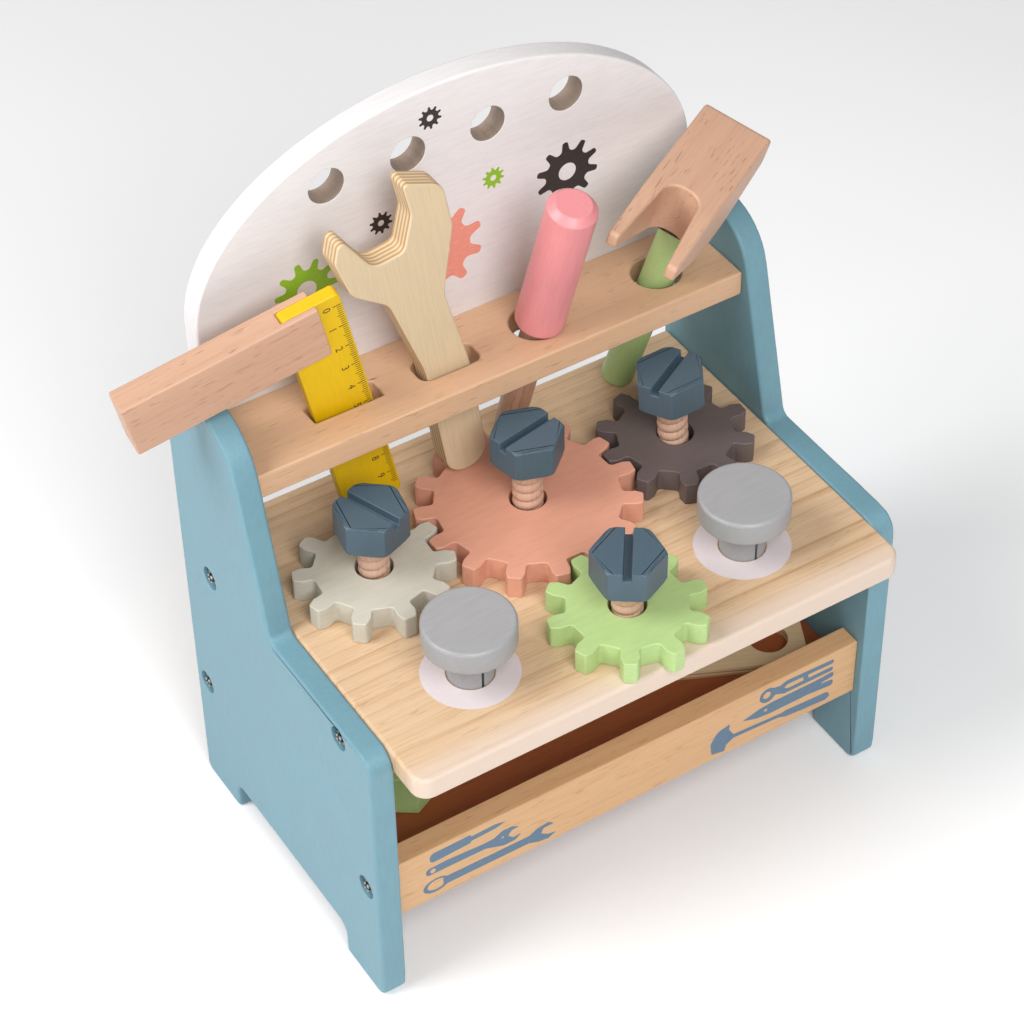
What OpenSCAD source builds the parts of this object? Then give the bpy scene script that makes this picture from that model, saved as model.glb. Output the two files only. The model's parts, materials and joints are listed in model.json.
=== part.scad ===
// Toy tool bench: two side panels joined by a work top, a tool rack, a back
// board and a tray, with turning gears, slotted bolts, push pegs and tools.
// Millimetres, +Z up, feet on Z = 0. X runs across the bench, Y from front to back.

/* [Side panels] */
// Overall width across both side panels
bench_w = 220; // [216:1:226]
// Thickness of a side panel
panel_t = 9.5; // [8:0.5:10]
// Depth of a side panel from front to back
panel_d = 134; // [132:1:140]
// Height of the side panels at the back
panel_h = 204; // [200:1:210]
// Height of the arch between the feet
foot_h = 13.4; // [8:0.2:20]
// Length of the front foot
front_foot = 26.7; // [20:0.5:32]
// Length of the back foot
back_foot = 25.3; // [20:0.5:32]
// Depth at which the upper part of the panel starts
step_y = 68; // [60:1:72]

/* [Work top] */
// Height of the work top above the floor
top_z = 125.2; // [122:0.2:128]
// Thickness of the work top
top_t = 9.5; // [7:0.5:10]
// How far the work top stands out in front of the side panels
top_lip = 16.6; // [12:0.2:20]
// Depth of the work top behind the front of the side panels
top_back = 132.5; // [126:0.5:133]

/* [Tray] */
// Height of the underside of the tray rails
rail_z = 36.8; // [30:0.2:44]
// Height of a tray rail
rail_h = 26.8; // [20:0.2:30]
// Thickness of a tray rail
rail_t = 9.3; // [8:0.1:10]
// Thickness of the tray floor
floor_t = 3; // [2:0.5:4]

/* [Rack and board] */
// Height of the top face of the tool rack
rack_z = 184.7; // [182:0.1:187]
// Thickness of the tool rack
rack_t = 10.4; // [9:0.1:11]
// Thickness of the back board
board_t = 9.5; // [8:0.5:10]
// Height at which the curved outline of the board starts
board_curve_z = 222; // [215:1:230]
// Rise of the curved outline of the board
board_rise = 65; // [60:1:70]
// Diameter of the four holes in the board
board_hole_d = 13.7; // [12:0.1:15]
// Spacing of the four holes in the board
board_pitch = 31.8; // [30:0.2:33]

/* [Gears] */
// Thickness of a gear
gear_t = 9.5; // [8:0.5:10]
// Teeth of the large gear
big_teeth = 15; // [15:5:15]
// Teeth of a small gear
small_teeth = 10; // [10:5:10]
// Distance between the axes of the large gear and a small gear
gear_distance = 64; // [63.9:0.1:64.2]
// Width of a tooth on the pitch circle
tooth_w = 7.2; // [6.6:0.1:7.4]
// Diameter of the hole in a gear
gear_hole_d = 13.6; // [13.6:0.1:14]

/* [Bolts and pegs] */
// Width of a bolt head across its flats
head_flats = 23.7; // [22:0.1:25]
// Height of a bolt head
head_h = 12.8; // [11:0.1:14]
// Diameter of a bolt shaft over its threads
bolt_d = 11.5; // [11:0.1:11.8]
// Length of a bolt shaft below its head
bolt_l = 40; // [38:1:44]
// Diameter of a push peg's head
peg_head_d = 33.5; // [32:0.5:36]
// Diameter of a push peg's stem
peg_d = 16.8; // [15:0.1:17]

/* [Tools] */
// Thickness of the plywood wrench
wrench_t = 9.5; // [8:0.5:9.5]
// Diameter of the hammer's handle
hammer_d = 12.5; // [11:0.1:12.6]
// Diameter of the screwdriver's handle
driver_d = 18.4; // [17:0.1:18.4]
// Width of the ruler blade of the try square
blade_w = 22.2; // [20:0.2:22.4]

/* [Hidden] */

$fn = 64;
cut = 1;                       // how far a cutting solid stands past a face
arc_steps = 8;                 // straight steps in a rounded corner

// Place of the bench in the model, so that the whole outline is centred on X = Y = 0
bench_x = 12.3;
bench_y = -56.9;

inner_w = bench_w - 2 * panel_t;
inner_x = inner_w / 2;
panel_x = bench_w / 2;
top_bottom_z = top_z - top_t;
board_y = 122;                 // front face of the back board
board_low_z = 165;             // lower edge of the back board
slope = 0.254;                 // run of the upper front edge of a panel per unit of rise

// Screws through a side panel, as [y, z]
rail_screw_z = rail_z + 17.7;
front_rail_y = 3.6;
rear_rail_y = 121;
top_screw_z = top_z - 5.4;
panel_screws = [
    [21, top_screw_z], [112.7, top_screw_z],
    [front_rail_y + rail_t / 2, rail_screw_z], [rear_rail_y + rail_t / 2, rail_screw_z]
];
screw_head_r = 4.1;
screw_head_h = 1.6;
screw_r = 1.9;
screw_l = 24;
recess_r = 4.6;
recess_depth = 3;
fit_gap = 0.06;                // clearance round a screw's shank

// Gear train, as bench x and y of each axis
big_y = 73;
gear_x = -0.6;
axis_coral = [gear_x, big_y];
axis_cream = [gear_x - gear_distance, big_y];
axis_grey = [gear_x + gear_distance, big_y];
axis_green = [gear_x, big_y - gear_distance];
big_r = gear_distance * big_teeth / (big_teeth + small_teeth);
small_r = gear_distance - big_r;
big_tip = 3.2;                 // height of a large gear's tooth above its pitch circle
small_tip = 3.6;
root_gap = 0.6;                // gap between a tooth's tip and the root it runs in
pressure = 14.5;               // pressure angle of the teeth
big_phase = 15;                // angle of one tooth of the large gear
cream_phase = mesh_phase(180);
grey_phase = mesh_phase(0);
green_phase = mesh_phase(270);

// Height of each bolt head's underside and plan angle of its slot
rise_coral = 154.2;
rise_cream = 150.2;
rise_grey = 152.2;
rise_green = 147.2;
turn_coral = 10.7;
turn_cream = 110.3;
turn_grey = 28.1;
turn_green = 54.2;
lean_grey = [-0.056, 0.025, 1];
upright = [0, 0, 1];
slot_w = 2.9;
slot_depth = 3.2;
head_bevel = 1.2;
bolt_hole_r = bolt_d / 2 + 0.6;
bolt_pivot_z = top_z - 4.3;

// Push pegs
peg_x = 57;
peg_shift = -1.6;               // how far both pegs sit off the middle
peg_y = 18.8;
peg_head_z = 140.5;
peg_head_h = 10;
peg_edge = 1.4;
peg_low_z = 104;
peg_slit_w = 1;
peg_hole_r = peg_d / 2 + 0.1;

// Slots and holes of the rack, in bench x and y
square_slot = [-70, 99.2, 27.5, 8.6];
wrench_slot = [-27.9, 96.8, 24.4, 11.5];
slot_r = 3.8;
driver_hole = [22.6, 103.3, 9.7];
hammer_hole = [74.2, 103.1, 9.2];

// Try square: the ruler's zero corner, its lean and its droop
square_at = [-57.4, 97.4, 233.9];
square_turn = -4.2;
square_lean = 3.6;
square_droop = 12.1;
blade_l = 104;
blade_t = 5.5;
stock_left = 83;
stock_right = 9.2;
stock_above = 5;               // the blade's end is flush with the top of the stock
stock_below = 17.9;
stock_front = 2.5;
stock_t = 11;

// Wrench: the foot of its axis, its lean, and its outline across the axis
wrench_at = [-9.8, 97.5, top_z + gear_t + 0.3];
wrench_lean = 8;
wrench_w = 16.7;

// Screwdriver and hammer: a point on the axis and the direction up the tool
driver_at = [22.7, 101.1, 187];
driver_lean = [0.065, -0.27, 1];
driver_handle_l = 63.4;
driver_shaft_l = 62.4;
driver_shaft_r = 5.6;
driver_tip = 1.4;              // half the thickness of the flat tip
hammer_at = [73.6, 103, 179.5];
hammer_lean = [0.118, -0.285, 1];
hammer_top = 61.4;             // from hammer_at to the top of the head
hammer_low = 55;               // from hammer_at to the end of the handle
hammer_turn = 30;

// Loose pieces in the tray
tray_top = rail_z + 9.7;
link_at = [56.3, 45.1];
link_turn = -25.5;
link_pitch = 27.6;             // spacing of the link's holes, and its width
link_hole_r = 7.4;
link_t = 4;
block_at = [-72.5, 47];
block_flats = 24;              // width across the flats of the six-sided block
block_h = 18;
block_turn = -35;
block_hole_r = 6;

// ---- shared shapes ----

function unit(v) = v / norm(v);

// Points of the arc that rounds corner b of a, b, c to a radius r
function corner(a, b, c, r) =
    let (
        u = unit(a - b),
        v = unit(c - b),
        half = acos(u * v) / 2,
        centre = b + unit(u + v) * r / sin(half),
        from = b + u * r / tan(half) - centre,
        to = b + v * r / tan(half) - centre,
        start = atan2(from[1], from[0]),
        sweep = (atan2(to[1], to[0]) - start + 540) % 360 - 180
    )
    [for (i = [0:arc_steps]) let (t = start + sweep * i / arc_steps) centre + r * [cos(t), sin(t)]];

// Outline through [x, y, radius] corners, each rounded to its own radius
function rounded(pts) = [
    for (i = [0:len(pts) - 1])
        let (
            n = len(pts),
            a = [pts[(i + n - 1) % n][0], pts[(i + n - 1) % n][1]],
            b = [pts[i][0], pts[i][1]],
            c = [pts[(i + 1) % n][0], pts[(i + 1) % n][1]]
        )
        each pts[i][2] > 0 ? corner(a, b, c, pts[i][2]) : [b]
];

// Tooth phase of a small gear that meshes with the large gear in direction toward
function mesh_phase(toward) =
    toward + 180 - (big_phase - toward) * big_teeth / small_teeth + 180 / small_teeth;

function involute(a) = tan(a) * 180 / PI - a;

// Half the angle that a tooth takes up at radius r, in degrees
function tooth_half(r, pitch_r) =
    let (base_r = pitch_r * cos(pressure), a = r > base_r ? acos(base_r / r) : 0)
    tooth_w / pitch_r / 2 * 180 / PI + involute(pressure) - involute(a);

function polar(r, a) = [r * cos(a), r * sin(a)];

// Outline of a gear as rounded corners: root, flank, tip, tip, flank, root for each tooth
function gear_outline(teeth, pitch_r, tip_r, root_r) = [
    for (i = [0:teeth - 1])
        let (
            a = i * 360 / teeth,
            base_r = pitch_r * cos(pressure),
            low = tooth_half(base_r, pitch_r),
            mid = tooth_half(pitch_r + 0.5, pitch_r),
            high = tooth_half(tip_r, pitch_r)
        )
        each [
            concat(polar(root_r, a - low), 1.6),
            concat(polar(pitch_r + 0.5, a - mid), 0),
            concat(polar(tip_r, a - high), 1.1),
            concat(polar(tip_r, a + high), 1.1),
            concat(polar(pitch_r + 0.5, a + mid), 0),
            concat(polar(root_r, a + low), 1.6)
        ]
];

module in_bench() {
    translate([bench_x, bench_y, 0]) children();
}

// Leans +Z over to point along direction, with no turn about it
module along(direction) {
    turn = atan2(direction[1], direction[0]);
    rotate([0, acos(direction[2] / norm(direction)), turn]) rotate([0, 0, -turn]) children();
}

module board_across(x0, x1, y0, y1, z0, z1) {
    translate([x0, y0, z0]) cube([x1 - x0, y1 - y0, z1 - z0]);
}

// ---- frame ----

function panel_outline() = rounded([
    [0, 0, 4.5],
    [front_foot, 0, 1.5],
    [front_foot, foot_h, 5],
    [panel_d - back_foot, foot_h, 5],
    [panel_d - back_foot, 0, 1.5],
    [panel_d, 0, 4],
    [panel_d, panel_h, 12],
    [step_y + slope * (panel_h - top_z), panel_h, 23],
    [step_y, top_z, 4],
    [0, top_z, 8]
]);

// A side panel whose inner face is at x = 0 and whose outer face is at x = side * panel_t
module side_panel(side) {
    in_bench() translate([side * inner_x, 0, 0]) difference() {
        translate([side > 0 ? 0 : -panel_t, 0, 0]) rotate([90, 0, 90])
            linear_extrude(panel_t) polygon(panel_outline());
        for (p = panel_screws) {
            translate([0, p[0], p[1]]) rotate([0, 90 * side, 0]) {
                translate([0, 0, -cut]) cylinder(h = panel_t + 2 * cut, r = screw_r + fit_gap);
                translate([0, 0, panel_t - recess_depth]) cylinder(h = recess_depth + cut, r = recess_r);
            }
        }
    }
}

module side_panel_left() {
    color([0.49, 0.70, 0.76]) side_panel(-1);
}

module side_panel_right() {
    color([0.49, 0.70, 0.76]) side_panel(1);
}

// Holes for the screws' shanks in whatever lies between the panels
module shank_holes(rows) {
    for (side = [-1, 1]) {
        for (i = rows) {
            translate([side * inner_x, panel_screws[i][0], panel_screws[i][1]]) rotate([0, -90 * side, 0])
                translate([0, 0, -cut]) cylinder(h = screw_l - panel_t + 3 * cut, r = screw_r + fit_gap);
        }
    }
}

module panel_screw_set(side) {
    in_bench() for (p = panel_screws) {
        translate([side * (panel_x - recess_depth), p[0], p[1]]) rotate([0, 90 * side, 0]) screw();
    }
}

// Pan-head screw with its head upwards and its shank below z = 0
module screw() {
    difference() {
        union() {
            cylinder(h = screw_head_h, r = screw_head_r);
            translate([0, 0, -screw_l + recess_depth]) cylinder(h = screw_l, r = screw_r);
        }
        for (a = [0, 90]) {
            rotate([0, 0, a]) translate([-2.2, -0.5, 0.6]) cube([4.4, 1, 3]);
        }
    }
}

module panel_screws_left() {
    color([0.75, 0.75, 0.78]) panel_screw_set(-1);
}

module panel_screws_right() {
    color([0.75, 0.75, 0.78]) panel_screw_set(1);
}

module bench_top() {
    color([0.89, 0.77, 0.61]) in_bench() difference() {
        translate([0, 0, top_bottom_z]) linear_extrude(top_t) polygon(rounded([
            [-inner_x, -top_lip, 6],
            [inner_x, -top_lip, 6],
            [inner_x, top_back, 0],
            [-inner_x, top_back, 0]
        ]));
        for (p = [axis_coral, axis_cream, axis_grey, axis_green]) {
            translate([p[0], p[1], top_bottom_z - cut]) cylinder(h = top_t + 2 * cut, r = bolt_hole_r);
        }
        for (side = [-1, 1]) {
            translate([peg_place(side), peg_y, top_bottom_z - cut]) cylinder(h = top_t + 2 * cut, r = peg_hole_r);
        }
        shank_holes([0, 1]);
    }
}

module rail(y) {
    board_across(-inner_x, inner_x, y, y + rail_t, rail_z, rail_z + rail_h);
}

module front_rail() {
    color([0.80, 0.63, 0.45]) in_bench() difference() {
        rail(front_rail_y);
        shank_holes([2]);
    }
}

module rear_rail() {
    color([0.80, 0.63, 0.45]) in_bench() difference() {
        rail(rear_rail_y);
        shank_holes([3]);
    }
}

module tray_floor() {
    color([0.42, 0.24, 0.15]) in_bench()
        board_across(-inner_x, inner_x, front_rail_y + rail_t, rear_rail_y, tray_top - floor_t, tray_top);
}

// ---- rack and back board ----

module slot_cut(s, r) {
    translate([0, 0, rack_z - rack_t - cut]) linear_extrude(rack_t + 2 * cut) polygon(rounded([
        [s[0], s[1], r], [s[0] + s[2], s[1], r], [s[0] + s[2], s[1] + s[3], r], [s[0], s[1] + s[3], r]
    ]));
}

rack_screw_x = [-80, 0, 80];
rack_screw_z = rack_z - rack_t / 2;

module rack_screw_holes() {
    for (x = rack_screw_x) {
        translate([x, board_y + board_t, rack_screw_z]) rotate([-90, 0, 0])
            translate([0, 0, -screw_l - 2 * cut]) cylinder(h = screw_l + 3 * cut, r = screw_r + fit_gap);
    }
}

module tool_rack() {
    color([0.80, 0.65, 0.47]) in_bench() difference() {
        board_across(-inner_x, inner_x, 85.8, board_y, rack_z - rack_t, rack_z);
        slot_cut(square_slot, 1);
        slot_cut(wrench_slot, slot_r);
        for (h = [driver_hole, hammer_hole]) {
            translate([h[0], h[1], rack_z - rack_t - cut]) cylinder(h = rack_t + 2 * cut, r = h[2]);
        }
        rack_screw_holes();
    }
}

// Half ellipse on straight sides
function board_outline() = concat(
    [[-inner_x, board_low_z], [inner_x, board_low_z]],
    [for (a = [0:3:180]) [inner_x * cos(a), board_curve_z + board_rise * sin(a)]]
);

module back_board() {
    color([0.90, 0.88, 0.87]) in_bench() difference() {
        translate([0, board_y + board_t, 0]) rotate([90, 0, 0]) linear_extrude(board_t)
            polygon(board_outline());
        for (i = [-1.5:1:1.5]) {
            translate([i * board_pitch, board_y - cut, 262.8]) rotate([-90, 0, 0])
                cylinder(h = board_t + 2 * cut, d = board_hole_d);
        }
        rack_screw_holes();
        for (x = rack_screw_x) {
            translate([x, board_y + board_t, rack_screw_z]) rotate([-90, 0, 0])
                translate([0, 0, -recess_depth]) cylinder(h = recess_depth + cut, r = recess_r);
        }
    }
}

module rack_screws() {
    color([0.75, 0.75, 0.78]) in_bench() for (x = rack_screw_x) {
        translate([x, board_y + board_t - recess_depth, rack_screw_z]) rotate([-90, 0, 0]) screw();
    }
}

// ---- gears ----

module gear(at, teeth, pitch_r, tip_h, root_r, phase) {
    in_bench() translate([at[0], at[1], top_z]) rotate([0, 0, phase]) difference() {
        linear_extrude(gear_t) polygon(rounded(gear_outline(teeth, pitch_r, pitch_r + tip_h, root_r)));
        translate([0, 0, -cut]) cylinder(h = gear_t + 2 * cut, d = gear_hole_d);
    }
}

module small_gear(at, phase) {
    gear(at, small_teeth, small_r, small_tip, small_r - big_tip - root_gap, phase);
}

module gear_coral() {
    color([0.88, 0.59, 0.49])
        gear(axis_coral, big_teeth, big_r, big_tip, big_r - small_tip - root_gap, big_phase);
}

module gear_cream() {
    color([0.83, 0.82, 0.74]) small_gear(axis_cream, cream_phase);
}

module gear_grey() {
    color([0.41, 0.36, 0.36]) small_gear(axis_grey, grey_phase);
}

module gear_green() {
    color([0.72, 0.86, 0.55]) small_gear(axis_green, green_phase);
}

// ---- bolts ----

// A bolt's own axes: zero where a leaning bolt turns over in the work top, z up the bolt
module in_bolt(at, lean) {
    in_bench() translate([at[0], at[1], bolt_pivot_z]) along(lean) children();
}

// Six-sided head with bevelled edges and a screwdriver slot from flat to flat
module bolt_head(at, low_z, turn, lean = upright) {
    corner_r = head_flats / 2 / cos(30);
    color([0.30, 0.41, 0.48]) in_bolt(at, lean) translate([0, 0, low_z - bolt_pivot_z])
        rotate([0, 0, turn]) difference() {
            intersection() {
                rotate([0, 0, 30]) cylinder(h = head_h, r = corner_r, $fn = 6);
                rotate_extrude() polygon([
                    [0, 0], [corner_r - head_bevel, 0], [corner_r + 0.4, 1], [corner_r + 0.4, head_h - 1],
                    [corner_r - head_bevel, head_h], [0, head_h]
                ]);
            }
            translate([-head_flats, -slot_w / 2, head_h - slot_depth])
                cube([2 * head_flats, slot_w, slot_depth + cut]);
        }
}

module bolt_shaft(at, low_z, lean = upright) {
    color([0.85, 0.68, 0.58]) in_bolt(at, lean) translate([0, 0, low_z - bolt_pivot_z - bolt_l])
        rotate_extrude() polygon([
            [0, 0], [bolt_d / 2 - 1.5, 0], [bolt_d / 2, 1.5], [bolt_d / 2, bolt_l], [0, bolt_l]
        ]);
}

module bolt_head_coral() bolt_head(axis_coral, rise_coral, turn_coral);
module bolt_head_cream() bolt_head(axis_cream, rise_cream, turn_cream);
module bolt_head_grey() bolt_head(axis_grey, rise_grey, turn_grey, lean_grey);
module bolt_head_green() bolt_head(axis_green, rise_green, turn_green);
module bolt_shaft_coral() bolt_shaft(axis_coral, rise_coral);
module bolt_shaft_cream() bolt_shaft(axis_cream, rise_cream);
module bolt_shaft_grey() bolt_shaft(axis_grey, rise_grey, lean_grey);
module bolt_shaft_green() bolt_shaft(axis_green, rise_green);

// ---- push pegs ----

function peg_place(side) = side * peg_x + peg_shift;

// Quarter circle from the side of a round head to one of its flat faces
function edge_arc(r, z, up) = [
    for (i = [0:arc_steps])
        let (a = up ? i * 90 / arc_steps : -90 + i * 90 / arc_steps)
        [r - peg_edge + peg_edge * cos(a), z + peg_edge * sin(a)]
];

module peg_head(side) {
    color([0.67, 0.67, 0.69]) in_bench() translate([peg_place(side), peg_y, peg_head_z]) rotate_extrude()
        polygon(concat(
            [[0, 0]],
            edge_arc(peg_head_d / 2, peg_edge, false),
            edge_arc(peg_head_d / 2, peg_head_h - peg_edge, true),
            [[0, peg_head_h]]
        ));
}

module peg_stem(side) {
    color([0.55, 0.55, 0.57]) in_bench() difference() {
        translate([peg_place(side), peg_y, peg_low_z]) rotate_extrude() polygon([
            [0, 0], [peg_d / 2 - 1.5, 0], [peg_d / 2, 1.5],
            [peg_d / 2, peg_head_z - peg_low_z], [0, peg_head_z - peg_low_z]
        ]);
        translate([peg_place(side) - peg_slit_w / 2, peg_y - peg_d, peg_low_z - cut])
            cube([peg_slit_w, 2 * peg_d, peg_head_z - peg_low_z - 2]);
    }
}

module peg_head_left() peg_head(-1);
module peg_head_right() peg_head(1);
module peg_stem_left() peg_stem(-1);
module peg_stem_right() peg_stem(1);

// ---- try square ----

// The square's own axes: x along the stock, z up, y to the back, zero at the ruler's corner
module in_square() {
    in_bench() translate(square_at) rotate([0, 0, square_turn]) rotate([square_lean, 0, 0])
        rotate([0, -square_droop, 0]) children();
}

module blade_shape() {
    translate([0, blade_t, 0]) rotate([90, 0, 0]) linear_extrude(blade_t) polygon(rounded([
        [-blade_w, stock_above, 2],
        [0, stock_above, 2],
        [0, -blade_l, 6],
        [-blade_w, -blade_l, 6]
    ]));
}

module square_blade() {
    color([0.93, 0.75, 0.12]) in_square() blade_shape();
}

module square_stock() {
    color([0.84, 0.67, 0.55]) in_square() difference() {
        translate([-stock_left, -stock_front, -stock_below])
            cube([stock_left - stock_right, stock_t, stock_above + stock_below]);
        blade_shape();
        // the slot for the blade is open at the top
        translate([-blade_w, 0, 0]) cube([blade_w, blade_t, stock_above + cut]);
    }
}

// ---- wrench ----

// Outline across the wrench, x to the right and y up its axis from the foot of the handle
function wrench_outline() = rounded([
    [-wrench_w / 2, 0, 8],
    [wrench_w / 2, 0, 8],
    [wrench_w / 2, 50, 60],
    [4, 85, 14],
    [12.2, 112, 14],
    [11.5, 131, 8],
    [-3.3, 139.5, 1.5],
    [-2.2, 125, 6],
    [-7.5, 111.5, 3],
    [-19.5, 111.5, 6],
    [-29.3, 131, 2],
    [-33, 121, 5],
    [-29.5, 104, 8],
    [-17, 92, 10],
    [-0.55 * wrench_w, 55, 30]
]);

module wrench() {
    color([0.88, 0.80, 0.66]) in_bench() translate(wrench_at) rotate([0, -wrench_lean, 0])
        translate([0, wrench_t, 0]) rotate([90, 0, 0]) linear_extrude(wrench_t) polygon(wrench_outline());
}

// ---- screwdriver ----

module in_driver() {
    in_bench() translate(driver_at) along(driver_lean) children();
}

module driver_handle() {
    r = driver_d / 2;
    color([0.94, 0.58, 0.60]) in_driver() rotate_extrude() polygon([
        [0, 0], [r - 1, 0], [r, 1],
        [r, driver_handle_l - 2.6], [r - 2.6, driver_handle_l], [0, driver_handle_l]
    ]);
}

module driver_shaft() {
    color([0.85, 0.69, 0.58]) in_driver() difference() {
        translate([0, 0, -driver_shaft_l]) cylinder(h = driver_shaft_l, r = driver_shaft_r);
        for (side = [-1, 1]) {
            translate([0, side * driver_tip, -driver_shaft_l]) rotate([-14 * side, 0, 0])
                translate([-8, side > 0 ? 0 : -10, -2]) cube([16, 10, 22]);
        }
    }
}

// ---- hammer ----

// The hammer's own axes: z up the handle, x along the head towards its face
module in_hammer() {
    in_bench() translate(hammer_at) along(hammer_lean) rotate([0, 0, hammer_turn]) children();
}

module hammer_handle() {
    r = hammer_d / 2;
    color([0.70, 0.85, 0.58]) in_hammer() translate([0, 0, -hammer_low]) rotate_extrude() polygon(concat(
        [[0, 0]],
        [for (i = [0:arc_steps]) let (a = -90 + i * 90 / arc_steps) [r - 3 + 3 * cos(a), 3 + 3 * sin(a)]],
        [[r, hammer_low + hammer_top - 6], [0, hammer_low + hammer_top - 6]]
    ));
}

// Side view of the head: x along it, y up from the underside of its face
head_len_face = 32.5;
head_len_claw = 44;
head_w = 27;
head_face_h = 13;
head_deep_h = 23;

module hammer_head() {
    color([0.80, 0.59, 0.45]) in_hammer() translate([0, 0, hammer_top]) difference() {
        translate([0, head_w / 2, 0]) rotate([90, 0, 0]) linear_extrude(head_w) polygon(rounded([
            [head_len_face, 0, 3],
            [head_len_face, -head_face_h, 3],
            [6, -head_deep_h, 20],
            [-14, -head_deep_h, 20],
            [-head_len_claw, -9, 2],
            [-head_len_claw, -3, 2],
            [-18, 0, 40]
        ]));
        // the claw's notch, which leaves two tapering prongs
        translate([0, 0, -40]) linear_extrude(50) polygon(rounded([
            [-head_len_claw - 20, 11.5, 0], [-11, 6.4, 6.2], [-11, -6.4, 6.2], [-head_len_claw - 20, -11.5, 0]
        ]));
        translate([0, 0, -40]) cylinder(h = 34, d = hammer_d);
    }
}

// ---- loose pieces in the tray ----

module tray_link() {
    end = 1.5 * link_pitch;
    side = link_pitch / 2;
    color([0.86, 0.76, 0.62]) in_bench() translate([link_at[0], link_at[1], tray_top])
        rotate([0, 0, link_turn]) difference() {
            linear_extrude(link_t) polygon(rounded([
                [-end, -side, 3], [end, -side, 3], [end, side, 3], [-end, side, 3]
            ]));
            for (i = [-1:1]) {
                translate([i * link_pitch, 0, -cut]) cylinder(h = link_t + 2 * cut, r = link_hole_r);
            }
        }
}

module tray_block() {
    color([0.68, 0.82, 0.54]) in_bench() translate([block_at[0], block_at[1], tray_top])
        rotate([0, 0, block_turn]) difference() {
            cylinder(h = block_h, r = block_flats / 2 / cos(30), $fn = 6);
            translate([0, 0, -cut]) cylinder(h = block_h + 2 * cut, r = block_hole_r);
        }
}

side_panel_left();
side_panel_right();
bench_top();
front_rail();
rear_rail();
tray_floor();
tool_rack();
back_board();
panel_screws_left();
panel_screws_right();
rack_screws();
gear_coral();
gear_cream();
gear_grey();
gear_green();
bolt_head_coral();
bolt_head_cream();
bolt_head_grey();
bolt_head_green();
bolt_shaft_coral();
bolt_shaft_cream();
bolt_shaft_grey();
bolt_shaft_green();
peg_head_left();
peg_head_right();
peg_stem_left();
peg_stem_right();
square_stock();
square_blade();
wrench();
driver_handle();
driver_shaft();
hammer_head();
hammer_handle();
tray_link();
tray_block();
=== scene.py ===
"""Looks of the toy tool bench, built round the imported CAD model. Metres, +Z up, X right, Y to the back."""

import json
import math

import bmesh
import bpy
from mathutils import Matrix, Vector


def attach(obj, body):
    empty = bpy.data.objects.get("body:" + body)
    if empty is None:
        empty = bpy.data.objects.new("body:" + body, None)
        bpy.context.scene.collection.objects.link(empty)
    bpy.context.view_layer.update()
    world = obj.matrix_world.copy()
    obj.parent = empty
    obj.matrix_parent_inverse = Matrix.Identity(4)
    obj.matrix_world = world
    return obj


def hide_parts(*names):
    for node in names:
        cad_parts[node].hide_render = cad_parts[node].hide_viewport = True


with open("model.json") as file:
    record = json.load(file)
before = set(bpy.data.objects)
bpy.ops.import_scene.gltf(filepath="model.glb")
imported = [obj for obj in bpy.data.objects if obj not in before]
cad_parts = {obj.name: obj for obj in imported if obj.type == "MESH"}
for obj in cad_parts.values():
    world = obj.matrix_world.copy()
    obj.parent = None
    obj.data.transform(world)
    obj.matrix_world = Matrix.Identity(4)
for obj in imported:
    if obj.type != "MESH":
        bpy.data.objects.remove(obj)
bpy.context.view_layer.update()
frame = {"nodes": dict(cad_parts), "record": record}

MM = 0.001
BENCH = Vector((12.3, -56.9, 0)) * MM  # middle of the bench's front edge, on the floor

# Heights, depths and pitches of the bench, in mm, as the CAD has them
HALF_WIDTH = 110  # from the middle to the outer face of a side panel
TOP_Z = 125.2  # upper face of the work top
RAIL_FRONT_Y = 3.6  # front face of the front rail
BOARD_Y = 122  # front face of the back board
BOARD_HOLES = (-47.7, -15.9, 15.9, 47.7)  # x of each hole
BOARD_HOLE_Z = 262.8
BOARD_HOLE_RADIUS = 6.85
PEG_PLACES = ((-58.6, 18.8), (55.4, 18.8))  # (x, y) of each push peg
SCREW_X = 108.25  # middle of a panel screw, from the middle of the bench
SCREW_PLACES = ((21, 119.8), (112.7, 119.8), (8.25, 54.5), (125.65, 54.5))  # (y, z) of each screw

# Bolt shafts, in mm
BOLT_LENGTH = 40
BOLT_RADIUS = 5.75
THREAD_PITCH = 4
THREAD_DEPTH = 0.8
THREAD_FULLNESS = 0.8  # below 1, the crests are broad and the grooves narrow
POINT_INSET = 1.6  # how much slimmer the shaft is at its lower end
POINT_SLOPE = 0.9  # how fast it widens from there

# Prints, in mm. The marks and digits of the ruler are placed across it from its right edge.
INK_THICKNESS = 0.06  # half of it lies in the wood
MARK_COUNT = 97
MARKS_X = -0.65
CM_MARK, HALF_CM_MARK, MM_MARK = (3.1, 0.17), (2.5, 0.14), (1.8, 0.14)  # length, half width
DIGITS_X = -6.2
DIGIT_SIZE = 4.0

# Each bolt: bench x and y of its axis, height of the underside of its head, lean
BOLTS = {
    "coral": (-0.6, 73, 154.2, (0, 0, 1)),
    "cream": (-64.6, 73, 150.2, (0, 0, 1)),
    "grey": (63.4, 73, 152.2, (-0.056, 0.025, 1)),
    "green": (-0.6, 9, 147.2, (0, 0, 1)),
}
BOLT_PIVOT_Z = 120.9

# Camera: where it stands, and how it is turned, as compass angle, height angle and roll
CAMERA_AT = Vector((-0.40965, -0.65875, 0.88364))
CAMERA_AZIMUTH = -31.561
CAMERA_ELEVATION = 43.546
CAMERA_ROLL = -1.063
CAMERA_LENS = 107.1


# ---- places ----


def turned(axis, degrees):
    return Matrix.Rotation(math.radians(degrees), 4, axis)


def leaning(direction):
    """Turns +Z to point along direction, with no twist about it."""
    return Vector((0, 0, 1)).rotation_difference(Vector(direction)).to_matrix().to_4x4()


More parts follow.
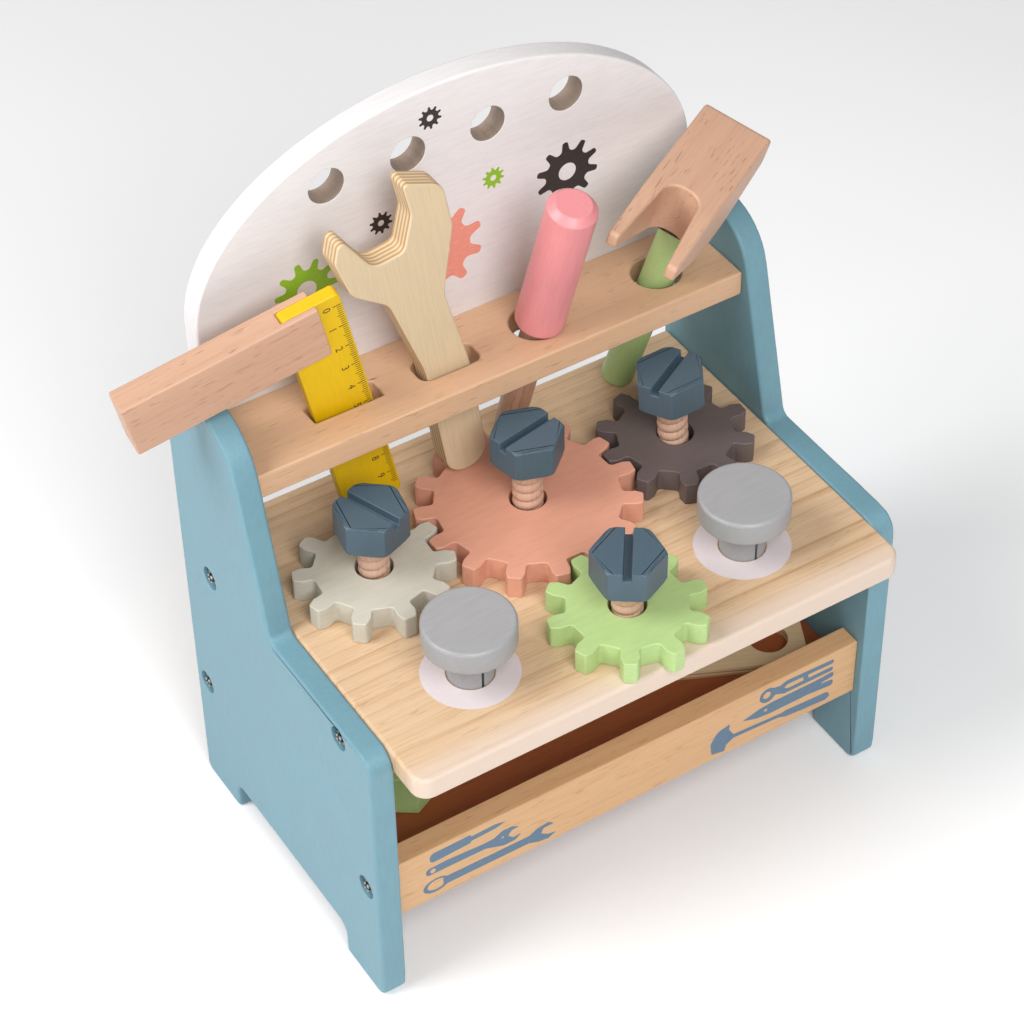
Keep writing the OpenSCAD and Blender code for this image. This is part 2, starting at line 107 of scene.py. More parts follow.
def at_bench(x, y, z):
    return Matrix.Translation(BENCH + Vector((x, y, z)) * MM)


SQUARE = at_bench(-57.4, 97.4, 233.9) @ turned("Z", -4.2) @ turned("X", 3.6) @ turned("Y", -12.1)
WRENCH = at_bench(-9.8, 97.5, 135) @ turned("Y", -8)
DRIVER = at_bench(22.7, 101.1, 187) @ leaning((0.065, -0.27, 1))
HAMMER = at_bench(73.6, 103, 179.5) @ leaning((0.118, -0.285, 1)) @ turned("Z", 30)
LINK = at_bench(56.3, 45.1, 46.5) @ turned("Z", -25.5)
UPRIGHT = at_bench(0, 0, 0)


def bolt_frame(name):
    x, y, _, lean = BOLTS[name]
    return at_bench(x, y, BOLT_PIVOT_Z) @ leaning(lean)


# ---- materials ----


LIGHT_LEVEL = 1.25  # how bright the studio light makes a white surface that faces it


def srgb(r, g, b):
    """Surface colour that shows as this 8-bit screen colour under the studio light."""
    linear = [c / 255 / 12.92 if c <= 10 else ((c / 255 + 0.055) / 1.055) ** 2.4 for c in (r, g, b)]
    return (*[c / LIGHT_LEVEL for c in linear], 1)


def shade(colour, factor):
    return (*[min(1, c * factor) for c in colour[:3]], 1)


def new_material(name):
    material = bpy.data.materials.new(name)
    material.use_nodes = True
    return material, material.node_tree, material.node_tree.nodes["Principled BSDF"]


def feed(tree, socket, value):
    """Links another node's output to the input socket, or sets a plain value on it."""
    if isinstance(value, bpy.types.NodeSocket):
        tree.links.new(value, socket)
    else:
        socket.default_value = value


def add(tree, kind, settings=None, **inputs):
    """Adds a node, with its settings, and its inputs by name as values or links."""
    node = tree.nodes.new(kind)
    for name, value in (settings or {}).items():
        setattr(node, name, value)
    for name, value in inputs.items():
        feed(tree, node.inputs[name], value)
    return node


def coordinates(tree, stretch=(1, 1, 1), turn=(0, 0, 0)):
    """Object coordinates in metres, stretched and turned."""
    place = add(tree, "ShaderNodeTexCoord").outputs["Object"]
    turn = [math.radians(a) for a in turn]
    mapping = add(tree, "ShaderNodeMapping", Vector=place, Scale=stretch, Rotation=turn)
    return mapping.outputs["Vector"]


def noise(tree, place, scale, detail=3, roughness=0.5, distortion=0):
    node = add(
        tree, "ShaderNodeTexNoise", Vector=place, Scale=scale, Detail=detail,
        Roughness=roughness, Distortion=distortion,
    )
    return node.outputs["Fac"]


def ramp(tree, value, *stops):
    """Colour ramp through (position, colour) stops."""
    node = add(tree, "ShaderNodeValToRGB", Fac=value)
    elements = node.color_ramp.elements
    while len(elements) < len(stops):
        elements.new(0.5)
    for element, (position, colour) in zip(elements, stops):
        element.position = position
        element.color = colour if isinstance(colour, tuple) else (colour, colour, colour, 1)
    return node.outputs["Color"]


def mixed(tree, share, a, b, blend="MIX"):
    node = tree.nodes.new("ShaderNodeMix")
    node.data_type = "RGBA"
    node.blend_type = blend
    # The node keeps one set of sockets for each data type: 6, 7 and output 2 are the colours
    for index, value in ((0, share), (6, a), (7, b)):
        feed(tree, node.inputs[index], value)
    return node.outputs[2]


def math_node(tree, operation, a, b=0.0):
    node = tree.nodes.new("ShaderNodeMath")
    node.operation = operation
    for socket, value in zip(node.inputs, (a, b)):
        feed(tree, socket, value)
    return node.outputs[0]


def spread(tree, value, low, high):
    """Value from 0..1 moved to low..high."""
    node = add(tree, "ShaderNodeMapRange", Value=value)
    node.inputs["To Min"].default_value = low
    node.inputs["To Max"].default_value = high
    return node.outputs["Result"]


def bump(tree, shader, *layers):
    """Chains bump layers of (height, strength, depth in metres) into the shader's normal."""
    normal = None
    for height, strength, depth in layers:
        node = add(tree, "ShaderNodeBump", Height=height, Strength=strength, Distance=depth)
        if normal:
            tree.links.new(normal, node.inputs["Normal"])
        normal = node.outputs["Normal"]
    tree.links.new(normal, shader.inputs["Normal"])


def paint(name, colour, roughness=0.42, stretch=(0.12, 1, 1), faint=0.06):
    """Satin paint rolled on wood: slight clouding, faint wood pores and a fine roller texture."""
    material, tree, shader = new_material(name)
    even = coordinates(tree)
    pores = noise(tree, coordinates(tree, stretch), 900, 4, 0.6)
    cloud = noise(tree, even, 45, 3)
    fine = noise(tree, even, 2600, 2)
    base = ramp(tree, cloud, (0.3, shade(colour, 1 - faint)), (0.7, shade(colour, 1 + faint)))
    base = mixed(tree, 0.35, base, ramp(tree, pores, (0.35, shade(colour, 0.88)), (0.6, shade(colour, 1.05))))
    tree.links.new(base, shader.inputs["Base Color"])
    tree.links.new(spread(tree, cloud, roughness - 0.05, roughness + 0.07), shader.inputs["Roughness"])
    shader.inputs["Specular IOR Level"].default_value = 0.4
    bump(tree, shader, (pores, 0.12, 0.00012), (fine, 0.1, 0.00005))
    return material


def wood(
    name, light, dark, spacing=0.006, contrast=0.8, along="X", tilt=2.0,
    flecks=0.3, roughness=0.45, edge_highlight=None,
):
    """Planed wood with growth rings as long lines along one axis, fibres and short pores.

    The last argument, if given, paints a highlight along an edge: a paler colour that fades out from one
    object Y to another, in mm."""
    material, tree, shader = new_material(name)
    axis = "XYZ".index(along)
    across = (axis + 1) % 3
    long_stretch = [1, 1, 1]
    long_stretch[axis] = 0.06
    turn = [0, 0, 0]
    turn[(axis + 2) % 3] = tilt
    rings_place = coordinates(tree, long_stretch, turn)
    rings = add(
        tree, "ShaderNodeTexWave",
        {"wave_type": "BANDS", "bands_direction": "XYZ"[across], "wave_profile": "SAW"},
        Vector=rings_place, Scale=math.tau / 20 / spacing, Distortion=7, Detail=3,
    )
    rings.inputs["Detail Scale"].default_value = 0.35
    rings.inputs["Detail Roughness"].default_value = 0.55
    patch = noise(tree, rings_place, 70, 2)
    fibre_stretch = [1, 1, 1]
    fibre_stretch[axis] = 0.025
    fibres = noise(tree, coordinates(tree, fibre_stretch, turn), 1500, 4, 0.65)
    pore_stretch = [1, 1, 1]
    pore_stretch[axis] = 0.1
    pores = ramp(tree, noise(tree, coordinates(tree, pore_stretch, turn), 1300, 1), (0.66, 0.0), (0.73, 1.0))
    late = ramp(tree, rings.outputs["Fac"], (0.0, 0.1), (0.35, 0.0), (0.8, 0.5), (0.93, 1.0), (1.0, 0.15))
    share = math_node(tree, "MULTIPLY", late, ramp(tree, patch, (0.35, 0.15), (0.65, 1.0)))
    share = math_node(tree, "MULTIPLY", share, contrast)
    base = mixed(tree, share, light, dark)
    fibre_colour = ramp(tree, fibres, (0.3, shade(dark, 1.1)), (0.55, light), (1.0, shade(light, 1.1)))
    base = mixed(tree, 0.35, base, fibre_colour)
    base = mixed(tree, math_node(tree, "MULTIPLY", pores, flecks), base, shade(dark, 0.6))
    # Painted highlight: a paler colour laid over the wood near an edge, in place of light falling on it
    if edge_highlight:
        highlight_colour, start, end = edge_highlight
        depth = add(tree, "ShaderNodeSeparateXYZ", Vector=coordinates(tree)).outputs["Y"]
        wavy_depth = math_node(tree, "ADD", depth, spread(tree, patch, -0.003, 0.003))
        pale = add(tree, "ShaderNodeMapRange", Value=wavy_depth)
        fade = {"From Min": start * MM, "From Max": end * MM, "To Min": 0.8, "To Max": 0}
        for socket, value in fade.items():
            pale.inputs[socket].default_value = value
        base = mixed(tree, pale.outputs["Result"], base, highlight_colour)
    tree.links.new(base, shader.inputs["Base Color"])
    tree.links.new(spread(tree, fibres, roughness - 0.08, roughness + 0.1), shader.inputs["Roughness"])
    shader.inputs["Specular IOR Level"].default_value = 0.35
    bump(tree, shader, (fibres, 0.12, 0.0001), (pores, -0.25, 0.0001))
    return material


def plywood(name, face, layer, thickness_axis, layer_mm):
    """Birch plywood: pale faces, and thin light and dark layers on every cut edge."""
    material, tree, shader = new_material(name)
    axis = "XYZ".index(thickness_axis)
    coordinate = add(tree, "ShaderNodeTexCoord")
    place = add(tree, "ShaderNodeSeparateXYZ", Vector=coordinate.outputs["Object"]).outputs[axis]
    stretch = [0.05, 0.05, 0.05]
    stretch[axis] = 1
    waver = noise(tree, coordinates(tree, stretch), 260, 2)
    depth = math_node(tree, "MULTIPLY", place, 1 / (2 * layer_mm * MM))
    level = math_node(tree, "ADD", depth, math_node(tree, "MULTIPLY", waver, 0.35))
    step = math_node(tree, "FRACT", level)
    layers = ramp(
        tree, step,
        (0.0, face), (0.42, shade(face, 1.06)), (0.5, layer), (0.9, shade(layer, 1.1)), (0.97, face),
    )
    facing = add(tree, "ShaderNodeSeparateXYZ", Vector=coordinate.outputs["Normal"]).outputs[axis]
    flat = ramp(tree, math_node(tree, "ABSOLUTE", facing), (0.75, 0.0), (0.95, 1.0))
    along = [1, 1, 1]
    along["ZXY".index(thickness_axis)] = 0.04
    fibres = noise(tree, coordinates(tree, along), 1100, 4, 0.6)
    front = ramp(tree, fibres, (0.3, shade(face, 0.9)), (0.6, face), (1.0, shade(face, 1.08)))
    tree.links.new(mixed(tree, flat, layers, front), shader.inputs["Base Color"])
    tree.links.new(spread(tree, fibres, 0.5, 0.65), shader.inputs["Roughness"])
    shader.inputs["Specular IOR Level"].default_value = 0.3
    bump(tree, shader, (fibres, 0.12, 0.0001), (layers, 0.1, 0.0001))
    return material


def zinc(name):
    """Zinc-plated steel, slightly mottled and finely scratched."""
    material, tree, shader = new_material(name)
    mottle = noise(tree, coordinates(tree), 900, 4)
    scratch = noise(tree, coordinates(tree, (1, 1, 0.05)), 3000, 2)
    metal = ramp(tree, mottle, (0.3, srgb(150, 146, 142)), (0.7, srgb(205, 203, 200)))
    tree.links.new(metal, shader.inputs["Base Color"])
    tree.links.new(spread(tree, mottle, 0.25, 0.42), shader.inputs["Roughness"])
    shader.inputs["Metallic"].default_value = 1
    bump(tree, shader, (scratch, 0.15, 0.00005))
    return material


def ink(name, colour, gaps=1.25):
    """Printed ink with tiny gaps where the wood's texture shows through."""
    material, tree, shader = new_material(name)
    grain = noise(tree, coordinates(tree, (0.15, 1, 1)), 2200, 3)
    base = ramp(tree, grain, (0.25, shade(colour, gaps)), (0.45, colour), (1.0, shade(colour, 0.9)))
    tree.links.new(base, shader.inputs["Base Color"])
    tree.links.new(spread(tree, grain, 0.5, 0.62), shader.inputs["Roughness"])
    bump(tree, shader, (grain, 0.1, 0.00005))
    return material


def floor_finish():
    material, tree, shader = new_material("floor_finish")
    cloud = noise(tree, coordinates(tree), 3, 2)
    pale = ramp(tree, cloud, (0.3, (0.96, 0.96, 0.965, 1)), (0.7, (0.98, 0.98, 0.98, 1)))
    tree.links.new(pale, shader.inputs["Base Color"])
    shader.inputs["Roughness"].default_value = 0.9
    return material


PINE_LIGHT, PINE_DARK = srgb(233, 201, 164), srgb(190, 140, 94)
PINE_EDGE_HIGHLIGHT = (srgb(236, 217, 203), -16, -5)  # painted highlight along the work top's front edge, a paler band that stands in for light on it

MATERIALS = {
    "blue_paint": paint("blue_paint", srgb(120, 164, 179), 0.45, (1, 1, 0.12)),
    "white_paint": paint("white_paint", srgb(246, 241, 241), 0.38, faint=0.02),
    # The pine work top gets a painted highlight along its front edge
    "pine": wood("pine", PINE_LIGHT, PINE_DARK, 0.0065, 0.95, tilt=3, edge_highlight=PINE_EDGE_HIGHLIGHT),
    "rail_wood": wood("rail_wood", srgb(224, 180, 134), srgb(190, 136, 90), 0.008, 0.4, flecks=0.35),
    "rack_wood": wood("rack_wood", srgb(230, 188, 152), srgb(204, 156, 118), 0.012, 0.35, flecks=0.4),
    "floor_wood": wood("floor_wood", srgb(160, 88, 50), srgb(116, 60, 34), 0.01, 0.5),
    "bare_wood": wood("bare_wood", srgb(186, 166, 150), srgb(150, 128, 112), 0.003, 0.5, "Z"),
    "coral_paint": paint("coral_paint", srgb(236, 170, 144)),
    "cream_paint": paint("cream_paint", srgb(216, 211, 196)),
    "grey_paint": paint("grey_paint", srgb(112, 99, 97)),
    "green_paint": paint("green_paint", srgb(190, 219, 146)),
    "bolt_paint": paint("bolt_paint", srgb(80, 102, 116), 0.36, (1, 1, 0.15), 0.1),
    "bolt_wood": wood("bolt_wood", srgb(222, 182, 158), srgb(190, 140, 112), 0.004, 0.4, "Z", flecks=0.5),
    "peg_paint": paint("peg_paint", srgb(170, 170, 172), 0.36, faint=0.02),
    "beech": wood("beech", srgb(218, 174, 146), srgb(188, 140, 112), 0.009, 0.4, flecks=0.55),
    "beech_upright": wood(
        "beech_upright", srgb(218, 176, 148), srgb(190, 138, 108), 0.006, 0.4, "Z", flecks=0.5
    ),
    "yellow_paint": paint("yellow_paint", srgb(240, 196, 8), 0.4, (1, 1, 0.12)),
    "plywood": plywood("plywood", srgb(230, 206, 170), srgb(196, 158, 112), "Y", 0.95),
    "plywood_flat": plywood("plywood_flat", srgb(226, 200, 160), srgb(188, 150, 106), "Z", 0.8),
    "pink_paint": paint("pink_paint", srgb(242, 154, 158), 0.34, (1, 1, 0.12)),
    "steel": zinc("steel"),
    "ring_print": ink("ring_print", srgb(234, 222, 224), 1.05),
    "blue_print": ink("blue_print", srgb(96, 124, 148)),
    "black_print": ink("black_print", srgb(52, 42, 42)),
    "leaf_print": ink("leaf_print", srgb(152, 200, 44)),
    "coral_print": ink("coral_print", srgb(250, 160, 142)),
    "scale_print": ink("scale_print", srgb(66, 50, 20)),
}


# ---- meshes ----


SHARP_DEGREES = 32  # an edge that turns more than this is rounded, and is kept in the shading


def slot_of(node):
    """The record's material slot of a CAD node."""
    for part in frame["record"]["subparts"]:
        if part["node"] == node:
            return part["material_slot"]
    raise ValueError(node)


def body_of(node):
    for body, members in frame["record"]["behaviour"]["bodies"].items():
        if node in members:
            return body
    raise ValueError(node)


def add_object(name, mesh, place, material, body):
    """Links a mesh as an object of the bench that rides on a body."""
    piece = bpy.data.objects.new(name, mesh)
    bpy.context.scene.collection.objects.link(piece)
    piece.matrix_world = place
    mesh.materials.clear()
    mesh.materials.append(MATERIALS[material])
    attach(piece, body)
    return piece


def shade_by_angle(mesh, degrees=SHARP_DEGREES):
    """Smooth shading that stops at edges sharper than the angle."""
    work = bmesh.new()
    work.from_mesh(mesh)
    for face in work.faces:
        face.smooth = True
    for edge in work.edges:
        edge.smooth = len(edge.link_faces) == 2 and edge.calc_face_angle(0) < math.radians(degrees)
    work.to_mesh(mesh)
    work.free()


def sharp_edges(work):
    limit = math.radians(SHARP_DEGREES)
    return [e for e in work.edges if len(e.link_faces) == 2 and e.calc_face_angle(0) > limit]


def bevel_edges(work, edges, width):
    bmesh.ops.bevel(
        work, geom=edges, offset=width * MM, offset_type="OFFSET", segments=3, profile=0.5,
        affect="EDGES", clamp_overlap=False, loop_slide=True,
    )


def softened(node, width, place=UPRIGHT, material=None, holes=(), hole_reach=12, fine=0.3):
    """A copy of a CAD node with rounded edges, in the axes of place. Edges near a hole get the fine width."""
    mesh = frame["nodes"][node].data.copy()
    mesh.name = node + "_soft"
    mesh.transform(place.inverted())
    work = bmesh.new()
    work.from_mesh(mesh)
    bmesh.ops.remove_doubles(work, verts=work.verts, dist=2e-6)
    bmesh.ops.dissolve_limit(
        work, angle_limit=math.radians(0.4), verts=work.verts, edges=work.edges, use_dissolve_boundaries=False
    )
    centres = [place.inverted() @ (BENCH + Vector(h) * MM) for h in holes]

    def near_hole(edge):
        middle = (edge.verts[0].co + edge.verts[1].co) / 2
        return any((middle - c).length < hole_reach * MM for c in centres)

    edges = sharp_edges(work)
    broad = [e for e in edges if not near_hole(e)]
    narrow = [e for e in edges if near_hole(e)]
    bevel_edges(work, broad, width)
    narrow = [e for e in narrow if e.is_valid]
    if narrow:
        bevel_edges(work, narrow, fine)
    work.to_mesh(mesh)
    work.free()
    shade_by_angle(mesh)
    piece = add_object(node + "_soft", mesh, place, material or slot_of(node), body_of(node))
    weigh = piece.modifiers.new("weighted_normals", "WEIGHTED_NORMAL")
    weigh.keep_sharp = True
    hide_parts(node)
    return piece


def mesh_of(curve):
    """Mesh of a curve or text, taken through an object that is removed again."""
    holder = bpy.data.objects.new(curve.name, curve)
    bpy.context.scene.collection.objects.link(holder)
    graph = bpy.context.evaluated_depsgraph_get()
    mesh = bpy.data.meshes.new_from_object(holder.evaluated_get(graph))
    bpy.data.objects.remove(holder)
    return mesh


def loops_to_mesh(name, loops, thickness):
    """Flat shape from closed loops of (x, y) in mm, holes included, with a small thickness."""
    curve = bpy.data.curves.new(name, "CURVE")
    curve.dimensions = "2D"
    curve.fill_mode = "BOTH"
    curve.extrude = thickness * MM / 2
    for loop in loops:
        spline = curve.splines.new("POLY")
        spline.points.add(len(loop) - 1)
        for point, (x, y) in zip(spline.points, loop):
            point.co = (x * MM, y * MM, 0, 1)
        spline.use_cyclic_u = True
    return mesh_of(curve)


def ellipse(x, y, half_width, half_height, steps):
    angles = [math.tau * i / steps for i in range(steps)]
    return [(x + half_width * math.cos(a), y + half_height * math.sin(a)) for a in angles]


def circle(x, y, radius, steps=48):
    return ellipse(x, y, radius, radius, steps)


def rounded(corners, steps=5):
    """Loop through (x, y, radius) corners, each rounded by an arc."""
    loop = []
    for i, (x, y, radius) in enumerate(corners):
        here = Vector((x, y))
        back = (Vector(corners[i - 1][:2]) - here).normalized()
        ahead = (Vector(corners[(i + 1) % len(corners)][:2]) - here).normalized()
        if radius == 0:
            loop.append((x, y))
            continue
        half = back.angle(ahead) / 2
        centre = here + (back + ahead).normalized() * radius / math.sin(half)
        start = here + back * radius / math.tan(half) - centre
        end = here + ahead * radius / math.tan(half) - centre
        sweep = start.angle_signed(end)
        for k in range(steps + 1):
            arm = start.copy()
            arm.rotate(Matrix.Rotation(-sweep * k / steps, 2))
            loop.append(tuple(centre + arm))
    return loop


def printed(name, loops, place, material, body="root", thickness=INK_THICKNESS):
    mesh = loops_to_mesh(name, loops, thickness)
    for face in mesh.polygons:
        face.use_smooth = False
    return add_object(name, mesh, place, material, body)


def bare_holes(board):
    """Leaves the walls of the board's four holes unpainted."""
    board.data.materials.append(MATERIALS["bare_wood"])
    reach = BOARD_HOLE_RADIUS + 0.2
    for face in board.data.polygons:
        x, z = face.center.x / MM, face.center.z / MM
        in_hole = any(math.hypot(x - hole, z - BOARD_HOLE_Z) < reach for hole in BOARD_HOLES)
        if in_hole and abs(face.normal.y) < 0.3:
            face.material_index = 1


# ---- frame of the bench ----


def build_frame():
    for side, name in ((-1, "side_panel_left"), (1, "side_panel_right")):
        screws = [(side * SCREW_X, y, z) for y, z in SCREW_PLACES]
        softened(name, 1.3, holes=screws, hole_reach=7, fine=0.25)
    wells = [(x, y, TOP_Z) for x, y, _, _ in BOLTS.values()] + [(x, y, TOP_Z) for x, y in PEG_PLACES]
    softened("bench_top", 1.6, holes=wells, hole_reach=13, fine=0.3)
    softened("front_rail", 0.7)
    softened("rear_rail", 0.7)
    softened("tray_floor", 0.3)
    softened("tool_rack", 0.9)
    holes = [(x, BOARD_Y, BOARD_HOLE_Z) for x in BOARD_HOLES]
    bare_holes(softened("back_board", 1.0, holes=holes, hole_reach=8, fine=0.35))
    for name in ("panel_screws_left", "panel_screws_right", "rack_screws"):
        softened(name, 0.22)


# ---- gears, bolts and pegs ----


def thread_mesh(name):
    """Turned shaft with a coarse rounded thread, from its lower end at z = 0 up to the head."""
    around, rise = 48, 0.25
    rows = round(BOLT_LENGTH / rise)
    work = bmesh.new()
    rings = []
    for j in range(rows + 1):
        z = j * rise
        point_radius = BOLT_RADIUS - POINT_INSET + z * POINT_SLOPE
        ring = []
        for i in range(around):
            turn = i / around
            wave = abs(math.sin(math.pi * (z / THREAD_PITCH - turn)))
            radius = min(BOLT_RADIUS - THREAD_DEPTH * (1 - wave ** THREAD_FULLNESS), point_radius)
            angle = math.tau * turn
            x, y = radius * math.cos(angle), radius * math.sin(angle)
            ring.append(work.verts.new((x * MM, y * MM, z * MM)))
        rings.append(ring)
    for low, high in zip(rings, rings[1:]):
        for i in range(around):
            k = (i + 1) % around
            work.faces.new((low[i], low[k], high[k], high[i]))
    work.faces.new(rings[0][::-1])
    work.faces.new(rings[-1])
    mesh = bpy.data.meshes.new(name)
    work.to_mesh(mesh)
    work.free()
    shade_by_angle(mesh, 50)
    return mesh


def build_bolts():
    for name, (_, _, head_z, _) in BOLTS.items():
        place = bolt_frame(name)
        softened("bolt_head_" + name, 0.4, place)
        shaft_place = place @ Matrix.Translation((0, 0, (head_z - BOLT_PIVOT_Z - BOLT_LENGTH) * MM))
        shaft = "bolt_shaft_" + name
        mesh = thread_mesh(shaft)
        piece = add_object(shaft + "_thread", mesh, shaft_place, "bolt_wood", shaft)
        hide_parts(shaft)


def build_gears():
    for name, (x, y, _, _) in BOLTS.items():
        softened("gear_" + name, 0.45, at_bench(x, y, TOP_Z), name + "_paint")


def build_pegs():
    for side, (x, y) in zip(("left", "right"), PEG_PLACES):
        for node in ("peg_head_" + side, "peg_stem_" + side):
            softened(node, 0.12, at_bench(x, y, TOP_Z))
        ring = [circle(0, 0, 17.6, 96), circle(0, 0, 8.9, 64)]
        piece = printed("peg_ring_" + side, ring, at_bench(x, y, TOP_Z), "ring_print")


# ---- tools ----


def ruler_marks():
    """Millimetre, half-centimetre and centimetre marks down the right edge of the ruler."""
    loops = []
    for mm in range(MARK_COUNT):
        length, half = CM_MARK if mm % 10 == 0 else HALF_CM_MARK if mm % 5 == 0 else MM_MARK
        left, low, high = MARKS_X - length, -mm - half, -mm + half
        loops.append([(left, low), (MARKS_X, low), (MARKS_X, high), (left, high)])
    return loops


def digit_mesh(digit):
    text = bpy.data.curves.new("digit", "FONT")
    text.body = str(digit)
    text.size = DIGIT_SIZE * MM
    text.align_x = "CENTER"
    text.align_y = "CENTER"
    text.extrude = INK_THICKNESS * MM / 2
    return mesh_of(text)


def build_square():
    softened("square_stock", 0.7, SQUARE)
    softened("square_blade", 0.6, SQUARE)
    front = SQUARE @ turned("X", 90)
    printed("ruler_marks", ruler_marks(), front, "scale_print", "try_square")
    for digit in range(10):
        name = "ruler_digit_%d" % digit
        place = front @ Matrix.Translation(Vector((DIGITS_X, -10 * digit, 0)) * MM) @ turned("Z", -90)
        add_object(name, digit_mesh(digit), place, "scale_print", "try_square")


def build_tools():
    build_square()
    softened("wrench", 0.9, WRENCH)
    softened("driver_handle", 0.3, DRIVER)
    softened("driver_shaft", 0.3, DRIVER, "beech_upright")
    softened("hammer_head", 1.0, HAMMER)
    softened("hammer_handle", 0.2, HAMMER)
    softened("tray_link", 0.4, LINK, "plywood_flat")
    softened("tray_block", 0.6)


# ---- prints ----


def gear_print(name, x, z, teeth, tip_r, root_r, hole_r, phase, material):
    """Printed gear on the front of the board, phase being the angle of one tooth."""
    corners = []
    step = 360 / teeth
    # Corners of a tooth: angle as a share of the step, radius, rounding as a share of the tip radius
    tooth = ((-0.30, root_r, 0.12), (-0.13, tip_r, 0.07), (0.13, tip_r, 0.07), (0.30, root_r, 0.12))
    for i in range(teeth):
        for offset, radius, corner in tooth:
            angle = math.radians(phase + (i + offset) * step)
            corners.append((radius * math.cos(angle), radius * math.sin(angle), corner * tip_r))
    loops = [rounded(corners), circle(0, 0, hole_r)]
    place = at_bench(x, BOARD_Y, z) @ turned("X", 90)
    printed(name, loops, place, material)


def build_board_prints():
    gear_print("board_gear_leaf", -57.9, 222.6, 10, 12.6, 8.6, 3.8, 105, "leaf_print")
    gear_print("board_gear_black", 48.2, 229, 10, 13.0, 9.0, 3.6, 94, "black_print")
    gear_print("board_gear_coral", -6, 216, 10, 18.7, 13.6, 5.2, 54, "coral_print")
    gear_print("board_gear_small_left", -27.7, 238.6, 10, 4.6, 3.3, 1.2, 95, "black_print")
    gear_print("board_gear_small_top", -6.8, 274.3, 10, 4.6, 3.3, 1.3, 94, "black_print")
    gear_print("board_gear_small_leaf", 17.6, 239, 10, 4.5, 3.2, 1.2, 94, "leaf_print")


# Outlines of the tools printed on the front rail, in mm: each corner's distance from the bench's
# left side, its height over the floor, and its rounding radius
SCREWDRIVER_PRINT = [
    (23.4, 61.2, 2.0), (40.3, 61.4, 0.4), (40.6, 60.3, 0.2), (50.5, 60.6, 1), (55.0, 59.4, 0.1),
    (50.5, 58.3, 1), (40.6, 57.9, 0.2), (40.3, 57.1, 0.4), (23.4, 56.3, 2.0),
]
ADJUSTABLE_PRINT = [
    (21.6, 53.9, 1.7), (30, 54.2, 3), (45, 53.1, 6), (49.8, 53.2, 2), (53.5, 55.2, 2.4),
    (57.5, 55.0, 2), (60.6, 53.3, 0.2), (57.5, 53.1, 1), (55.6, 51.0, 1.0), (58.0, 48.9, 1),
    (61.6, 49.2, 0.2), (58.8, 47.0, 1.5), (54, 46.9, 3), (46.5, 49.9, 4), (30, 50.3, 4),
    (21.6, 50.3, 1.7),
]
OPEN_END_PRINT = [
    (28.5, 45.7, 1), (64.5, 45.2, 3), (68.5, 47.2, 3), (72.8, 47.7, 1.5), (75.4, 45.9, 0.2),
    (70.8, 45.6, 0.8), (69.6, 43.4, 0.9), (72.8, 41.3, 1), (76.2, 40.7, 0.2), (72.8, 38.9, 1.5),
    (68.5, 39.6, 3), (64.5, 41.3, 4), (28.5, 41.6, 1),
]
HAMMER_HEAD_PRINT = [
    (146.2, 49.8, 1.0), (148.3, 51.4, 1), (152.6, 52.2, 0.3), (152.2, 49.6, 1), (154.3, 45.9, 0.6),
    (154.3, 43.6, 0.6), (151.2, 41.7, 1), (150.4, 38.8, 0.4), (144.6, 40.2, 0.8), (144.0, 46.0, 2),
]
HAMMER_HANDLE_PRINT = [
    (152, 45.9, 0.2), (176, 44.2, 2), (178.5, 44.6, 1), (197.5, 43.6, 1.6), (199.0, 41.2, 1.2),
    (197.0, 39.6, 1.5), (178.5, 41.2, 1), (175, 42.6, 2), (152, 43.9, 0.2),
]
PLIERS_PRINT = [
    (158.2, 50.4, 0.2), (166, 52.6, 4), (172, 53.1, 3), (190, 52.9, 3), (199.8, 53.4, 1.1),
    (200.0, 50.9, 1.1), (191.5, 50.1, 0.3), (200.0, 49.3, 1.3), (199.8, 46.3, 1.3), (188, 47.4, 3),
    (171, 47.4, 3), (165, 48.0, 4),
]
PINCER_ARMS_PRINT = [
    (171.2, 60.6, 0.8), (175, 59.9, 1), (178, 61.1, 1), (199.6, 60.2, 1.1), (199.8, 58.1, 1.0),
    (178.4, 58.8, 0.6), (176.6, 57.8, 0.4), (178.4, 56.6, 0.6), (199.6, 56.5, 1.0),
    (199.4, 54.4, 1.0), (177, 54.6, 2), (173, 56.4, 1), (171.5, 55.6, 0.8),
]
PINCER_BAR_PRINT = [(185.4, 59.4, 0.2), (187.6, 59.4, 0.2), (188.2, 56.0, 0.2), (185.9, 56.0, 0.2)]


def build_rail_prints():
    place = at_bench(-HALF_WIDTH, RAIL_FRONT_Y, 0) @ turned("X", 90)
    shapes = {
        "rail_print_screwdriver": [rounded(SCREWDRIVER_PRINT)],
        "rail_print_adjustable": [
            rounded(ADJUSTABLE_PRINT), circle(24.5, 52.0, 1.1, 24), circle(53.6, 51.6, 0.5, 12)
        ],
        "rail_print_open_end": [rounded(OPEN_END_PRINT)],
        "rail_print_ring_end": [ellipse(25.6, 43.7, 5.4, 3.5, 40), ellipse(25.8, 43.9, 3.9, 2.5, 40)],
        "rail_print_hammer_head": [rounded(HAMMER_HEAD_PRINT)],
        "rail_print_hammer_handle": [rounded(HAMMER_HANDLE_PRINT)],
        "rail_print_pliers": [rounded(PLIERS_PRINT), circle(168.8, 50.3, 0.7, 16)],
        "rail_print_pincer_eye": [circle(169.3, 58.0, 3.6), circle(169.0, 58.2, 1.7)],
        "rail_print_pincer_arms": [rounded(PINCER_ARMS_PRINT)],
        "rail_print_pincer_bar": [rounded(PINCER_BAR_PRINT)],
    }
    # These lie over another print, and are thicker so that no two faces share a plane
    overlapping = (
        "rail_print_ring_end", "rail_print_hammer_handle", "rail_print_pincer_eye", "rail_print_pincer_bar",
    )
    for name, loops in shapes.items():
        thickness = 2 * INK_THICKNESS if name in overlapping else INK_THICKNESS
        piece = printed(name, loops, place, "blue_print", thickness=thickness)


# ---- studio ----


